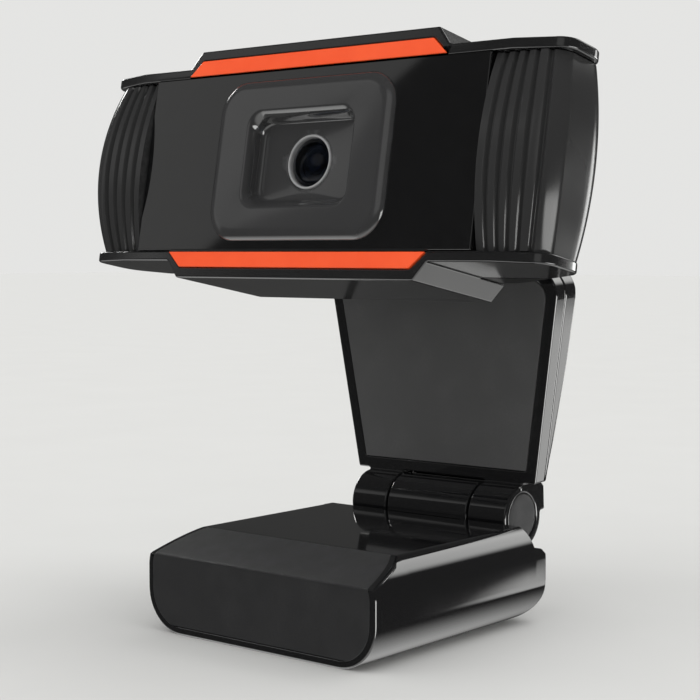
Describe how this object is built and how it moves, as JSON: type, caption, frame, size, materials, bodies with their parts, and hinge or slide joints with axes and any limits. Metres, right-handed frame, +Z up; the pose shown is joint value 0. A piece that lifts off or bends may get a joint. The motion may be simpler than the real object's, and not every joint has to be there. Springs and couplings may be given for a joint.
{
  "type": "webcam",
  "caption": "Webcam with a wide barrel-shaped head, ribbed ends and orange strips, on a tilting and swivelling neck hinged to a folding clip base that stands on a table.",
  "frame": {"origin": "on the surface the base stands on, at the middle of the whole object's width and depth", "axes": "+X across the camera to its left-hand end as it looks out (the viewer's right), -Y the way the camera looks, +Z up"},
  "size_m": [0.08, 0.048, 0.08],
  "materials": {
    "gloss_black": "high gloss moulded ABS",
    "satin_black": "fine satin texture",
    "panel_black": "smoked glossy face panel",
    "bezel_grey": "glossy dark grey moulding",
    "accent_orange": "satin orange strip",
    "pad_grey": "matt soft-touch pad",
    "foot_rubber": "matt rubber",
    "steel": "zinc plated",
    "sleeve_brass": "turned",
    "ring_metal": "satin anodised",
    "lens_glass": "coated",
    "filter_glass": "coated",
    "board_green": "solder mask",
    "chip_dark": "ceramic package",
    "mic_metal": "plain",
    "connector_white": "plain"
  },
  "bodies": {
    "base": {"base_housing": "gloss_black", "base_front_pad": "pad_grey", "base_bottom_cover": "satin_black", "base_bottom_pad": "foot_rubber", "base_cover_screws": "steel", "fold_friction_sleeve": "sleeve_brass"},
    "neck": {"neck_front_shell": "gloss_black", "neck_back_cover": "gloss_black", "neck_pad": "pad_grey", "neck_screws": "steel", "fold_pin": "steel", "fold_end_caps": "gloss_black", "tilt_pin": "steel", "tilt_end_caps": "gloss_black"},
    "bracket": {"swivel_bracket": "satin_black", "tilt_friction_sleeve": "sleeve_brass"},
    "head": {"head_front_shell": "gloss_black", "head_rear_cover": "satin_black", "face_panel": "panel_black", "lens_bezel": "bezel_grey", "left_ribbed_end": "satin_black", "right_ribbed_end": "satin_black", "top_accent_strip": "accent_orange", "bottom_accent_strip": "accent_orange", "lens_ring": "ring_metal", "lens_glass": "lens_glass", "lens_barrel": "satin_black", "lens_holder": "satin_black", "ir_filter": "filter_glass", "image_sensor": "chip_dark", "camera_board": "board_green", "microphone": "mic_metal", "cable_connector": "connector_white", "board_screws": "steel", "rear_cover_screws": "steel", "cable_gland": "foot_rubber", "swivel_stud": "steel", "swivel_washer": "steel"}
  },
  "joints": [
    {"name": "fold_hinge", "type": "hinge", "parent": "base", "child": "neck", "pos_m": [0, 0.0175, 0.0138], "axis": [1, 0, 0], "range_deg": [-85, 30]},
    {"name": "tilt_hinge", "type": "hinge", "parent": "neck", "child": "bracket", "pos_m": [0, 0.0198, 0.05547], "axis": [1, 0, 0], "range_deg": [-20, 10]},
    {"name": "pan_swivel", "type": "hinge", "parent": "bracket", "child": "head", "pos_m": [0, 0.00506, 0.05145], "axis": [0, 0.1771, 0.9842], "range_deg": [-30, 30]}
  ]
}
